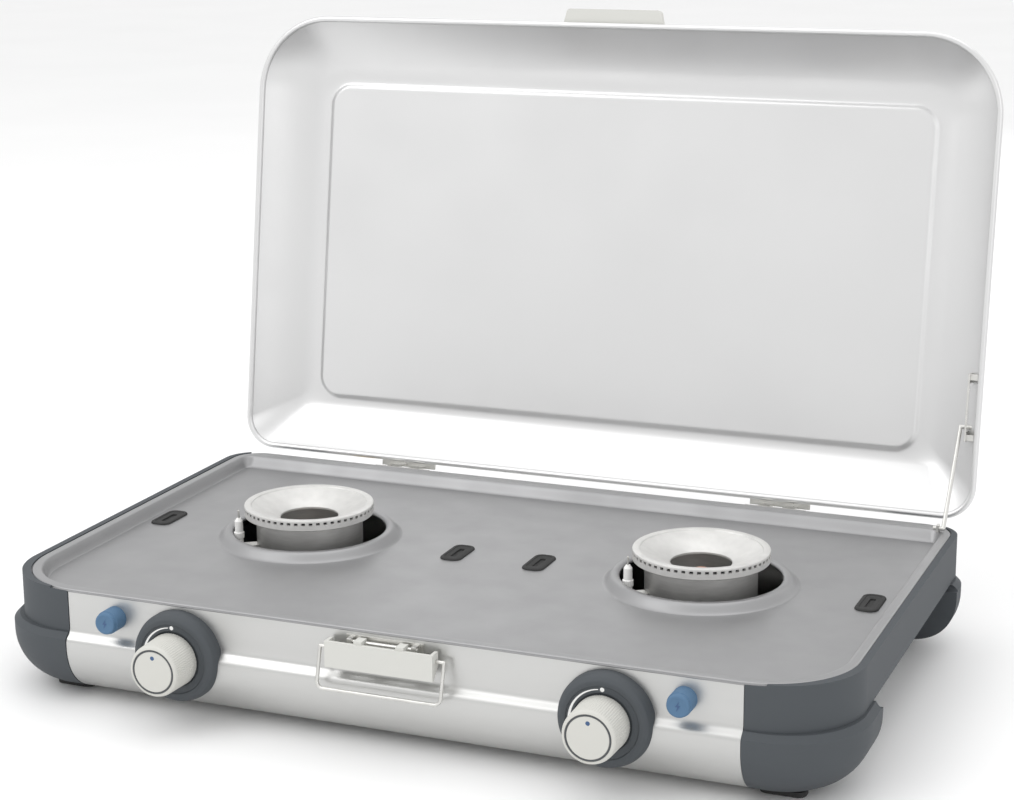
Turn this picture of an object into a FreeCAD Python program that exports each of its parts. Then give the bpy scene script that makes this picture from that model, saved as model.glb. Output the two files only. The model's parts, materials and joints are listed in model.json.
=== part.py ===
"""Two-burner camping stove with a hinged lid, built as separate named pieces.

Millimetres, +Z up.  The front faces -Y.  The origin is under the middle of the hob, on the surface
that the feet stand on.  The stove is drawn with its lid open and its latch plate flat.
"""
import FreeCAD
import Part
import math
import os
import Sketcher

os.makedirs("parts", exist_ok=True)
doc = FreeCAD.newDocument("camping_stove")
sheet = doc.addObject("Spreadsheet::Sheet", "Sizes")

# ---------------------------------------------------------------- driving dimensions
DIMENSIONS = {
    # hob plate
    "hob_wide": 520, "hob_deep": 312, "rim_z": 72, "rim_band": 5.5, "rim_slope": 4.5, "back_band": 10,
    "back_slope": 7, "hob_drop": 7.3, "sheet_thick": 1, "front_round": 53, "back_round": 20,
    "ring_crest": 3.5,
    # front and rear panels
    "seam_x": 210, "seam_gap": 0.4, "panel_thick": 1.2, "step_top": 45, "step_base": 41.5,
    "step_out": 5, "curve_round": 33, "base_z": 3, "flange": 12,
    # end casings
    "case_wide": 529, "case_deep": 313, "case_round": 48.5, "case_back_round": 22, "bulge": 5,
    "bulge_round": 50, "bulge_back_round": 34.5, "case_wall": 2.5, "lip_thick": 2, "lip_high": 0.1,
    "lip_gap": 0.3, "shelf_high": 3.5, "arch_top": 45, "arch_front": -88,
    "arch_rear": 116, "arch_rise": 31, "arch_spread_front": 24, "arch_spread_rear": 12,
    "foot_wide": 26, "foot_deep": 13, "foot_in": 15, "foot_y": 126.5,
    # burners
    "burner_x": 133.4, "burner_y": 11, "burner_hole": 49.5, "ring_out": 58, "ring_high": 5.7,
    "crown_round": 42, "crown_top": 87, "crown_band": 7, "bowl_round": 19.5, "head_round": 34.5,
    # sockets for a pan support
    "socket_out": 238.4, "socket_in": 27.8, "socket_y": 10, "socket_wide": 14.6, "socket_long": 31,
    "neck_round": 4, "slot_wide": 3.2, "slot_long": 15.6,
    # controls
    "knob_x": 133.4, "knob_z": 41, "knob_round": 16.3, "knob_face": 15.6, "knob_long": 22.5,
    "knob_skin": 2.3, "bezel_round": 27.5, "bezel_out": 5.5, "bezel_deep": 17.5, "button_x": 177,
    "button_z": 58, "button_round": 7.1, "button_out": 13, "button_long": 33, "stem_round": 4,
    "stem_long": 20, "spindle_round": 3,
    # gas pipe, valves and ignition
    "rail_y": -138, "rail_z": 20, "rail_round": 5, "pipe_round": 4, "pipe_run": 238, "inlet_x": 185,
    "inlet_round": 6.6, "inlet_bore": 3.5, "valve_wide": 22, "valve_deep": 24, "valve_high": 25,
    "valve_nose": 6.5, "injector_hole": 0.8, "piezo_round": 5.5, "piezo_long": 38,
    "electrode_reach": 46, "electrode_turn": 214,
    # lid, drawn closed and then opened about the hinge axis
    "lid_wide": 533, "lid_long": 311.5, "lid_high": 29, "lid_wall": 1.2, "lid_round": 52,
    "lid_back_round": 21, "lid_dome": 25, "bead": 1.7, "panel_side": 45, "panel_front": 46,
    "panel_back": 38, "panel_round": 15, "panel_raise": 1, "lid_open": 98.75, "lid_gap": 0.7,
    "lid_back": 7.6, "bead_high": 4,
    # hinges
    "axis_y": 162.6, "axis_z": 66.9, "hinge_x": 137.5, "knuckle": 8, "knuckle_gap": 0.4,
    "barrel_round": 3, "pin_round": 1.25, "running_gap": 0.05, "leaf_thick": 1.2, "hinge_high": 5.2,
    "rivet_round": 1.5, "rivet_high": 9, "rivet_out": 15,
    # lid stay
    "stay_x": 254.3, "wire_round": 1.35, "stay_foot_y": 141.6, "stay_foot_z": 74.2, "stay_long": 72,
    "stay_rise": 128, "slot_low": 56.8, "slot_high": 88.4, "slot_near": 1, "slot_far": 9.6,
    # latch
    "latch_half": 33.5, "latch_pin_y": -160, "latch_pin_z": 65.5, "latch_thick": 2, "latch_high": 15.5,
    "latch_out": 10.5, "latch_pin_round": 1.2, "bail_half": 38.5, "bail_round": 1.05, "bail_drop": 24,
    "bail_y": -161.5, "bail_z": 61, "bail_lean": 15, "keeper_base": 36.2, "keeper_tip": 34.4,
    "keeper_out": 11, "keeper_low": 4.3, "keeper_thick": 4,
}
for row, (alias, number) in enumerate(DIMENSIONS.items(), start=1):
    sheet.set("A%d" % row, alias)
    sheet.set("B%d" % row, str(number))
    sheet.setAlias("B%d" % row, alias)
doc.recompute()


class Size:
    """A number together with the spreadsheet formula that it comes from."""

    def __init__(self, value, text):
        self.value = float(value)
        self.text = text

    @staticmethod
    def of(thing):
        return thing if isinstance(thing, Size) else Size(thing, repr(float(thing)))

    def __add__(self, other):
        other = Size.of(other)
        return Size(self.value + other.value, "(%s + %s)" % (self.text, other.text))

    def __sub__(self, other):
        other = Size.of(other)
        return Size(self.value - other.value, "(%s - %s)" % (self.text, other.text))

    def __mul__(self, other):
        other = Size.of(other)
        return Size(self.value * other.value, "(%s * %s)" % (self.text, other.text))

    def __truediv__(self, other):
        other = Size.of(other)
        return Size(self.value / other.value, "(%s / %s)" % (self.text, other.text))

    def __neg__(self):
        return Size(0, "0") - self

    def __radd__(self, other):
        return Size.of(other) + self

    def __rsub__(self, other):
        return Size.of(other) - self

    def __rmul__(self, other):
        return Size.of(other) * self

    def __float__(self):
        return self.value


class Sheet:
    """Reads a cell of the sheet by its alias, as a Size."""

    def __getattr__(self, alias):
        return Size(sheet.get(alias), "Sizes." + alias)


d = Sheet()
X, Y, Z = FreeCAD.Vector(1, 0, 0), FreeCAD.Vector(0, 1, 0), FreeCAD.Vector(0, 0, 1)
exported = []


# ---------------------------------------------------------------- helpers
def bind(thing, prop, size):
    """Tie a property to its formula."""
    thing.setExpression(prop, Size.of(size).text)


def place(thing, x=0, y=0, z=0, turn=None):
    """Put an object at (x, y, z), each a Size or a number, with an optional rotation."""
    start = FreeCAD.Vector(*(Size.of(c).value for c in (x, y, z)))
    thing.Placement = FreeCAD.Placement(start, turn or FreeCAD.Rotation())
    for letter, coordinate in zip("xyz", (x, y, z)):
        bind(thing, ".Placement.Base." + letter, coordinate)
    return thing


def along(direction):
    """The rotation that turns +Z to a direction."""
    return FreeCAD.Rotation(Z, direction)


def cylinder(name, radius, length, at=(0, 0, 0), direction=Z):
    """A bound cylinder whose base centre is at a point."""
    solid = doc.addObject("Part::Cylinder", name)
    bind(solid, "Radius", radius)
    bind(solid, "Height", length)
    return place(solid, *at, turn=along(direction))


def cone(name, low, high, length, at=(0, 0, 0), direction=Z):
    """A bound cone frustum from radius low to radius high."""
    solid = doc.addObject("Part::Cone", name)
    bind(solid, "Radius1", low)
    bind(solid, "Radius2", high)
    bind(solid, "Height", length)
    return place(solid, *at, turn=along(direction))


def block(name, size, at):
    """A bound box of a size, standing on the middle of its base."""
    solid = doc.addObject("Part::Box", name)
    for prop, length in zip(("Length", "Width", "Height"), size):
        bind(solid, prop, length)
    return place(solid, at[0] - Size.of(size[0]) / 2, at[1] - Size.of(size[1]) / 2, at[2])


def ball(name, radius, at):
    """A bound sphere."""
    solid = doc.addObject("Part::Sphere", name)
    bind(solid, "Radius", radius)
    return place(solid, *at)


def fuse(name, pieces):
    """One solid from overlapping pieces."""
    joined = doc.addObject("Part::MultiFuse", name)
    joined.Shapes = pieces
    joined.Refine = True
    return joined


def cut(name, base, tools):
    """The base without the tools."""
    tool = tools[0] if len(tools) == 1 else fuse(name + "_tools", tools)
    result = doc.addObject("Part::Cut", name)
    result.Base = base
    result.Tool = tool
    result.Refine = True
    return result


def group(name, pieces):
    """Separate solids that share one node."""
    together = doc.addObject("Part::Compound", name)
    together.Links = pieces
    return together


def mirrored(name, source):
    """The source, mirrored in the plane X = 0."""
    copy = doc.addObject("Part::Mirroring", name)
    copy.Source = source
    copy.Normal = X
    return copy


def keep(thing, label):
    """Name a finished sub-part and list it for export."""
    thing.Label = label
    exported.append(thing)
    return thing


def body(name):
    return doc.addObject("PartDesign::Body", name)


def plane_of(part, role):
    return next(item for item in part.Origin.OriginFeatures if item.Role == role)


def sketch_on(part, name, plane="XY_Plane", offset=0):
    """A sketch on one of a body's own origin planes, raised by an offset along the plane's normal."""
    sketch = part.newObject("Sketcher::SketchObject", name)
    sketch.AttachmentSupport = [(plane_of(part, plane), "")]
    sketch.MapMode = "FlatFace"
    bind(sketch, "AttachmentOffset.Base.z", offset)
    return sketch


def pin_point(sketch, geometry, end, point):
    """Fix one end of a sketch line or arc at bound coordinates."""
    for kind, axis, coordinate in (("DistanceX", -2, point[0]), ("DistanceY", -1, point[1])):
        coordinate = Size.of(coordinate)
        if abs(coordinate.value) < 1e-9:
            sketch.addConstraint(Sketcher.Constraint("PointOnObject", geometry, end, axis))
            continue
        number = sketch.addConstraint(Sketcher.Constraint(kind, -1, 1, geometry, end, coordinate.value))
        sketch.setExpression("Constraints[%d]" % number, coordinate.text)


def outline(sketch, path):
    """Draw a closed outline.

    The path is a list of (x, y) corners.  An entry (x, y, radius) is reached from the one before it by
    an arc: a positive radius turns left on the way, a negative one turns right.
    """
    first = len(sketch.Geometry)
    count = len(path)
    for index in range(count):
        here = path[index]
        there = path[(index + 1) % count]
        a = FreeCAD.Vector(Size.of(here[0]).value, Size.of(here[1]).value, 0)
        b = FreeCAD.Vector(Size.of(there[0]).value, Size.of(there[1]).value, 0)
        if len(there) == 2:
            sketch.addGeometry(Part.LineSegment(a, b), False)
            continue
        radius = Size.of(there[2]).value
        half = (b - a) * 0.5
        side = FreeCAD.Vector(-half.y, half.x, 0)
        reach = math.sqrt(max(radius ** 2 - half.Length ** 2, 0))
        side.normalize()
        turn = 1 if radius > 0 else -1
        centre = a + half + side * reach * turn
        middle = centre - side * abs(radius) * turn
        first_end, last_end = (a, b) if radius > 0 else (b, a)
        sketch.addGeometry(Part.Arc(first_end, middle, last_end), False)
    ends = []
    for index in range(count):
        shape = sketch.Geometry[first + index]
        here = path[index]
        start = FreeCAD.Vector(Size.of(here[0]).value, Size.of(here[1]).value, 0)
        forward = (shape.StartPoint - start).Length < (shape.EndPoint - start).Length
        ends.append((1, 2) if forward else (2, 1))
    for index in range(count):
        after = (index + 1) % count
        joint = Sketcher.Constraint("Coincident", first + index, ends[index][1], first + after,
                                    ends[after][0])
        sketch.addConstraint(joint)
    for index in range(count):
        pin_point(sketch, first + index, ends[index][0], path[index])
        there = path[(index + 1) % count]
        if len(there) == 3:
            size = Size.of(there[2])
            positive = size if size.value > 0 else -size
            number = sketch.addConstraint(Sketcher.Constraint("Radius", first + index, positive.value))
            sketch.setExpression("Constraints[%d]" % number, positive.text)
    return sketch


def circle(sketch, x, y, radius):
    """Draw a bound circle."""
    number = len(sketch.Geometry)
    centre = FreeCAD.Vector(Size.of(x).value, Size.of(y).value, 0)
    sketch.addGeometry(Part.Circle(centre, Z, Size.of(radius).value), False)
    pin_point(sketch, number, 3, (x, y))
    constraint = sketch.addConstraint(Sketcher.Constraint("Radius", number, Size.of(radius).value))
    sketch.setExpression("Constraints[%d]" % constraint, Size.of(radius).text)


def rounded_outline(sketch, wide, low, high, low_round, high_round):
    """Draw a rectangle with rounded corners."""
    half = Size.of(wide) / 2
    path = [
        (-half + low_round, low, low_round),
        (half - low_round, low),
        (half, low + low_round, low_round),
        (half, high - high_round),
        (half - high_round, high, high_round),
        (-half + high_round, high),
        (-half, high - high_round, high_round),
        (-half, low + low_round),
    ]
    return outline(sketch, path)


def pad(part, sketch, length, down=False, both=False):
    """Pad a sketch of a body."""
    feature = part.newObject("PartDesign::Pad", sketch.Name + "_pad")
    feature.Profile = sketch
    bind(feature, "Length", length)
    feature.Reversed = down
    feature.Midplane = both
    part.Tip = feature
    return feature


def pocket(part, sketch, length, up=False, both=False):
    """Cut a sketch out of a body and check that something was cut."""
    before = volume_of(part)
    feature = part.newObject("PartDesign::Pocket", sketch.Name + "_pocket")
    feature.Profile = sketch
    bind(feature, "Length", length)
    feature.Reversed = up
    feature.Midplane = both
    part.Tip = feature
    if volume_of(part) > before - 0.01:
        raise RuntimeError("the pocket %s cut nothing" % feature.Name)
    return feature


def volume_of(part):
    doc.recompute()
    return part.Shape.Volume


def loft(part, sketches, remove=False):
    """A straight loft from one sketch of a body to the next, added or removed."""
    kind = "PartDesign::SubtractiveLoft" if remove else "PartDesign::AdditiveLoft"
    before = volume_of(part)
    feature = part.newObject(kind, sketches[0].Name + "_loft")
    feature.Profile = sketches[0]
    feature.Sections = sketches[1:]
    feature.Ruled = True
    part.Tip = feature
    if abs(volume_of(part) - before) < 0.01:
        raise RuntimeError("the loft %s changed nothing" % feature.Name)
    return feature


def revolve(part, sketch, remove=False):
    """Revolve a sketch on the XZ plane about the body's Z axis."""
    kind = "PartDesign::Groove" if remove else "PartDesign::Revolution"
    feature = part.newObject(kind, sketch.Name + "_turn")
    feature.Profile = sketch
    feature.ReferenceAxis = (sketch, ["V_Axis"])
    feature.Angle = 360
    part.Tip = feature
    return feature


def edges_where(part, test):
    """Names of the edges of a body's shape that pass a test."""
    doc.recompute()
    shape = part.Tip.Shape
    return ["Edge%d" % (index + 1) for index, edge in enumerate(shape.Edges) if test(edge)]


def soften(part, name, radius, test, kind="PartDesign::Fillet"):
    """Round or chamfer the edges of a body that pass a test."""
    names = edges_where(part, test)
    feature = part.newObject(kind, name)
    feature.Base = (part.Tip if part.Tip != feature else feature.BaseFeature, names)
    bind(feature, "Radius" if kind == "PartDesign::Fillet" else "Size", radius)
    part.Tip = feature
    return feature


def at_height(height):
    """A test for an edge that lies flat at one height."""
    level = Size.of(height).value
    return lambda edge: abs(edge.BoundBox.ZMin - level) < 0.01 and abs(edge.BoundBox.ZMax - level) < 0.01


def turned(name, profile, at=(0, 0, 0), turn=None):
    """A body made by revolving a profile of (radius, height) corners about its Z axis."""
    part = body(name)
    outline(sketch_on(part, name + "_profile", "XZ_Plane"), profile)
    revolve(part, part.Group[-1])
    return place(part, *at, turn=turn)


def extruded(name, path, length, plane="XY_Plane", offset=0, both=False, at=(0, 0, 0), turn=None):
    """A body made by padding one outline."""
    part = body(name)
    sketch = outline(sketch_on(part, name + "_profile", plane, offset), path)
    pad(part, sketch, length, both=both)
    return place(part, *at, turn=turn)


FRONT = along(-Y)          # a turned piece with this rotation points out of the front panel


# ---------------------------------------------------------------- body of the stove
def make_hob():
    """Pressed hob plate: flat rim, sloped step, recessed field, two burner rings, four sockets."""
    half_deep = d.hob_deep / 2
    part = body("hob_body")

    def inset_outline(name, inset, back_inset, level):
        sketch = sketch_on(part, name, offset=level)
        return rounded_outline(sketch, d.hob_wide - inset * 2, -half_deep + inset, half_deep - back_inset,
                               d.front_round - inset, d.back_round - inset)

    under_rim = d.rim_z - d.sheet_thick
    field = d.rim_z - d.hob_drop
    foot = d.rim_band + d.rim_slope
    back_foot = d.back_band + d.back_slope
    t = d.sheet_thick
    flush = Size.of(0)
    pad(part, inset_outline("hob_rim", flush, flush, under_rim), t)
    loft(part, [inset_outline("hob_under", d.rim_band - t, d.back_band - t, under_rim),
                inset_outline("hob_base", foot - t, back_foot - t, field - t)])
    loft(part, [inset_outline("hob_well", d.rim_band, d.back_band, d.rim_z),
                inset_outline("hob_field", foot, back_foot, field)], remove=True)

    def circle_at(name, x, radius, level):
        sketch = sketch_on(part, name, offset=level)
        circle(sketch, x, d.burner_y, radius)
        return sketch

    for side, x in (("left", -d.burner_x), ("right", d.burner_x)):
        ring_top = field + d.ring_high
        inner_top = d.burner_hole + d.ring_crest
        loft(part, [circle_at("ring_foot_" + side, x, d.ring_out, field),
                    circle_at("ring_top_" + side, x, inner_top, ring_top)])
        loft(part, [circle_at("under_foot_" + side, x, d.ring_out - 1, field - d.sheet_thick),
                    circle_at("under_top_" + side, x, inner_top - 1, ring_top - d.sheet_thick)],
                    remove=True)
        pocket(part, circle_at("burner_hole_" + side, x, d.burner_hole, ring_top), d.sheet_thick + 1)
    for number, x in enumerate((-d.socket_out, -d.socket_in, d.socket_in, d.socket_out)):
        hole = sketch_on(part, "socket_hole_%d" % number, offset=field)
        slot_outline(hole, x, d.socket_y, d.socket_wide - 3, d.socket_long - 3, d.neck_round)
        pocket(part, hole, d.sheet_thick + 1)
    stay_hole = sketch_on(part, "stay_hole", offset=d.rim_z)
    circle(stay_hole, d.stay_x - 2.5, d.stay_foot_y, 1.2)
    pocket(part, stay_hole, d.sheet_thick + 1)
    return keep(part, "hob_plate")


def slot_outline(sketch, x, y, wide, long, round_):
    """Draw a rounded rectangle about a point."""
    w = Size.of(wide) / 2
    h = Size.of(long) / 2
    r = round_
    return outline(sketch, [
        (x - w + r, y - h, r), (x + w - r, y - h), (x + w, y - h + r, r), (x + w, y + h - r),
        (x + w - r, y + h, r), (x - w + r, y + h), (x - w, y + h - r, r), (x - w, y - h + r)])


def panel_profile(side, inset):
    """The corners of a panel's outer face, moved inwards by an inset; side is -1 at the front."""
    wall = d.hob_deep / 2
    curve_z = d.base_z + d.curve_round
    return [
        (side * (wall - inset), d.rim_z - d.sheet_thick),
        (side * (wall - inset), d.step_top + inset / 2),
        (side * (wall + d.step_out - inset), d.step_base + inset / 2),
        (side * (wall + d.step_out - inset), curve_z),
        (side * (wall + d.step_out - d.curve_round), d.base_z + inset, -side * (d.curve_round - inset)),
    ]


def make_panel(label, side):
    """A bent sheet panel: upper wall, one step outwards and a large curve under the stove."""
    outer = panel_profile(side, Size.of(0))
    inner = panel_profile(side, d.panel_thick)
    flange_y = side * (d.hob_deep / 2 + d.step_out - d.curve_round - d.flange)
    path = outer + [(flange_y, d.base_z), (flange_y, d.base_z + d.panel_thick)]
    path += [inner[4][:2], (inner[3][0], inner[3][1], side * (d.curve_round - d.panel_thick))]
    path += [inner[2], inner[1], inner[0]]
    part = body(label + "_body")
    sketch = outline(sketch_on(part, label + "_profile", "YZ_Plane"), path)
    pad(part, sketch, (d.seam_x - d.seam_gap) * 2, both=True)
    return part


def make_panels():
    front = make_panel("front_panel", -1)
    outside = d.hob_deep / 2 + 20
    button_hole = d.button_round + 0.35
    for number, (x, z, radius) in enumerate((
            (-d.knob_x, d.knob_z, 8), (d.knob_x, d.knob_z, 8),
            (-d.button_x, d.button_z, button_hole), (d.button_x, d.button_z, button_hole))):
        hole = sketch_on(front, "front_hole_%d" % number, "XZ_Plane", outside)
        circle(hole, x, z, radius)
        pocket(front, hole, 40)
    keep(front, "front_panel")
    rear = make_panel("rear_panel", 1)
    hole = sketch_on(rear, "inlet_hole", "XZ_Plane", -outside)
    circle(hole, -d.inlet_x, d.knob_z, d.inlet_round + 0.4)
    pocket(rear, hole, 40, up=True)
    keep(rear, "rear_panel")


def case_path(inset, grow, front_round, back_round, start_x):
    """The outline of the right-hand casing, open towards the middle of the stove."""
    half = d.case_wide / 2 + grow - inset
    deep = d.case_deep / 2 + grow - inset
    front = front_round - inset
    back = back_round - inset
    path = [(start_x, -deep), (half, -deep + front, front), (half, deep - back),
            (half - back, deep, back), (start_x, deep)]
    path.insert(1, (half - front, -deep))
    return path


def arch_body(name, grow, start_x):
    """The space of the grip arch between the two lobes of a casing, grown on every side."""
    rise = d.arch_rise.value
    spread_front = d.arch_spread_front.value
    spread_rear = d.arch_spread_rear.value
    turn_front = (spread_front ** 2 + rise ** 2) / (2 * spread_front)
    turn_rear = (spread_rear ** 2 + rise ** 2) / (2 * spread_rear)
    front = d.arch_front - grow
    rear = d.arch_rear + grow
    tip_z = d.step_base - 0.5 - grow
    top = d.arch_top + grow
    notch = (d.arch_top - tip_z + grow) * 0.55
    arch = body(name)
    profile = sketch_on(arch, name + "_profile", "YZ_Plane", start_x)
    outline(profile, [
        (front - spread_front, -1, -turn_front), (rear + spread_rear, -1),
        (rear, rise - 1, -turn_rear), (rear, tip_z), (rear + 2.5, tip_z), (rear + 2.5, top, notch),
        (front - 2.5, top), (front - 2.5, tip_z, notch), (front, tip_z), (front, rise - 1)])
    pad(arch, profile, 90)
    return arch


def make_casing():
    """The right-hand end casing: a shell with a lip, a shelf, a bulge and a grip arch between two lobes."""
    start = d.seam_x
    flush = Size.of(0)
    lip_low = d.rim_z - d.sheet_thick - 0.1
    beyond = start.value + 0.1

    def bulge_path(inset, start_x):
        return case_path(inset, d.bulge, d.bulge_round, d.bulge_back_round, start_x)

    def wall_path(inset, start_x):
        return case_path(inset, flush, d.case_round, d.case_back_round, start_x)

    outer = body("casing_outer")
    low = sketch_on(outer, "casing_low", offset=d.base_z)
    pad(outer, outline(low, bulge_path(flush, start)), d.step_top - d.base_z)
    soften(outer, "casing_curve", d.curve_round,
           lambda edge: at_height(d.base_z)(edge) and edge.BoundBox.XMax > beyond)
    soften(outer, "casing_shelf", d.shelf_high,
           lambda edge: at_height(d.step_top)(edge) and edge.BoundBox.XMax > beyond, "PartDesign::Chamfer")
    high = sketch_on(outer, "casing_high", offset=d.curve_round)
    pad(outer, outline(high, wall_path(flush, start)), d.rim_z + d.lip_high - d.curve_round)

    inner = body("casing_inner")
    floor = d.base_z + d.case_wall
    low = sketch_on(inner, "hollow_low", offset=floor)
    pad(inner, outline(low, bulge_path(d.case_wall, start - 1)), d.step_top - 3 - floor)
    soften(inner, "hollow_curve", d.curve_round - d.case_wall,
           lambda edge: at_height(floor)(edge) and edge.BoundBox.XMax > beyond)
    high = sketch_on(inner, "hollow_high", offset=d.curve_round)
    pad(inner, outline(high, wall_path(d.case_wall, start - 1)), lip_low - d.lip_thick - d.curve_round)

    seat = body("casing_seat")
    ledge = sketch_on(seat, "seat_outline", offset=lip_low)
    half_deep = d.hob_deep / 2 + d.lip_gap
    rounded_outline(ledge, d.hob_wide + d.lip_gap * 2, -half_deep, half_deep, d.front_round, d.back_round)
    pad(seat, ledge, 5)
    mouth = sketch_on(seat, "seat_mouth", offset=lip_low - d.lip_thick - 1)
    reach = d.rim_band - d.sheet_thick - d.lip_gap
    back_reach = d.back_band - d.sheet_thick - d.lip_gap
    rounded_outline(mouth, d.hob_wide - reach * 2, -d.hob_deep / 2 + reach, d.hob_deep / 2 - back_reach,
                    d.front_round - reach, d.back_round - reach)
    pad(seat, mouth, d.lip_thick + 2)
    front_strip = block("seat_front", (24, 9, 5), (start, 2.5 - d.case_deep / 2, lip_low))
    rear_strip = block("seat_rear", (88, 14, 5), (start, d.case_deep / 2, lip_low))
    hollow = cut("casing_hollow", inner, [arch_body("arch_skin", d.case_wall, start)])
    arch = arch_body("casing_arch", flush, start + d.case_wall)
    return cut("casing_right_shape", outer, [hollow, arch, seat, front_strip, rear_strip])


SIDES = (("left", -1), ("right", 1))


def make_ends():
    """Both end casings, the tray between them and the rubber feet."""
    right = make_casing()
    keep(mirrored("casing_left_shape", right), "casing_left")
    keep(right, "casing_right")
    tray = block("tray_block", (d.seam_x * 2 - 6, d.hob_deep - 58, 1.2), (0, 0, d.base_z + d.panel_thick))
    keep(tray, "bottom_tray")
    feet = []
    for side, x in SIDES:
        for end, y in (("front", -1), ("rear", 1)):
            foot = extruded("foot_%s_%s" % (side, end), pill(d.foot_wide, d.foot_deep, 5), d.base_z,
                            at=(x * (d.seam_x + d.foot_in), y * d.foot_y, 0))
            feet.append(foot)
    keep(group("feet_group", feet), "rubber_feet")


def pill(wide, long, round_):
    """Corners of a rounded rectangle about the origin."""
    w = Size.of(wide) / 2
    h = Size.of(long) / 2
    r = round_
    return [(-w + r, -h, r), (w - r, -h), (w, -h + r, r), (w, h - r),
            (w - r, h, r), (-w + r, h), (-w, h - r, r), (-w, -h + r)]


# ---------------------------------------------------------------- burners
def make_burner(side, sign):
    """Burner head with its mixing tube, crown, bridge, screw and electrode, at one side."""
    x = d.burner_x * sign
    y = d.burner_y
    band_low = d.crown_top - d.crown_band
    wall = 2.5
    head = turned("head_cup_" + side, [
        (6, 32), (12, 32), (14, 40), (d.head_round, 54), (d.head_round, band_low),
        (d.head_round - wall, band_low), (d.head_round - wall, 55.5), (11.5, 42), (6, 42)], at=(x, y, 0))
    tube_z = d.knob_z
    tube = cylinder("mixing_tube_" + side, 9, 105, (x, y - 113, tube_z), Y)
    tube_bore = cylinder("mixing_bore_" + side, 7.5, 112, (x, y - 114, tube_z), Y)
    shape = cut("head_shape_" + side, fuse("head_solid_" + side, [head, tube]), [tube_bore])
    keep(shape, "burner_head_" + side)
    crown = turned("crown_" + side + "_body", [
        (d.bowl_round, d.crown_top - 8.5), (d.crown_round - 5, d.crown_top - 0.8), (d.crown_round - 4.4,
                                                                                    d.crown_top),
        (d.crown_round - 0.6, d.crown_top), (d.crown_round, d.crown_top - 0.6), (d.crown_round, band_low),
        (d.head_round - wall - 0.1, band_low), (d.head_round - wall - 0.1, band_low - 4),
        (d.head_round - wall - 2, band_low - 4), (d.head_round - wall - 2, d.crown_top - 7),
        (d.bowl_round, d.crown_top - 10.5)], at=(x, y, 0))
    keep(crown, "burner_crown_" + side)
    bar = block("bridge_bar_" + side, (2 * (d.head_round - wall) - 1.2, 9, 2), (x, y, band_low - 11))
    screw_hole = cylinder("bridge_hole_" + side, 2.05, 6, (x, y, band_low - 13))
    keep(cut("bridge_shape_" + side, bar, [screw_hole]), "burner_bridge_" + side)
    screw = turned("screw_" + side, [
        (0, 46), (2, 46), (2, band_low - 9), (4.5, band_low - 9), (4.5, band_low - 7), (3.8,
                                                                                        band_low - 6.2),
        (0, band_low - 6.2)], at=(x, y, 0))
    keep(screw, "burner_screw_" + side)
    reach = d.electrode_reach
    angle = math.radians(d.electrode_turn.value)
    ex = x + reach * math.cos(angle)
    ey = y + reach * math.sin(angle)
    ceramic = turned("ceramic_" + side, [
        (0.7, 52), (2.7, 52), (2.7, 66), (3.4, 66.5), (3.4, 70), (2.7, 70.5), (2.7, 77.5), (1.4, 79.5),
        (0.7, 79.5)], at=(ex, ey, 0))
    keep(ceramic, "electrode_" + side)
    pin = turned("spark_pin_" + side, [(0, 49), (0.65, 49), (0.65, 84.5), (0, 85)], at=(ex, ey, 0))
    keep(pin, "spark_pin_" + side)
    bracket = block("bracket_bar_" + side, (22, 8, 1.5), (0, 0, 0))
    outward = FreeCAD.Rotation(Z, d.electrode_turn.value)
    middle = 39.5
    place(bracket, x + middle * math.cos(angle) - 11 * math.cos(angle) + 4 * math.sin(angle),
          y + middle * math.sin(angle) - 11 * math.sin(angle) - 4 * math.cos(angle), 60, turn=outward)
    pinhole = cylinder("bracket_hole_" + side, 2.7, 6, (ex, ey, 58))
    head_space = cylinder("bracket_space_" + side, d.head_round, 6, (x, y, 58))
    keep(cut("bracket_shape_" + side, bracket, [pinhole, head_space]), "electrode_bracket_" + side)


def make_sockets():
    """Four rubber sockets in the hob, each with a slot for the foot of a pan support."""
    field = d.rim_z - d.hob_drop
    sockets = []
    for number, x in enumerate((-d.socket_out, -d.socket_in, d.socket_in, d.socket_out)):
        flange = extruded("socket_flange_%d" % number, pill(d.socket_wide, d.socket_long, 5.5), 1.3,
                          offset=field, at=(x, d.socket_y, 0))
        neck_path = pill(d.socket_wide - 3.2, d.socket_long - 3.2, d.neck_round)
        neck = extruded("socket_neck_%d" % number, neck_path, 4, offset=field - 3.5, at=(x, d.socket_y, 0))
        slot = extruded("socket_slot_%d" % number, pill(d.slot_wide, d.slot_long, 1), 8, offset=field - 5,
                        at=(x, d.socket_y, 0))
        sockets.append(cut("socket_%d" % number, fuse("socket_solid_%d" % number, [flange, neck]), [slot]))
    keep(group("socket_group", sockets), "support_sockets")


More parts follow.
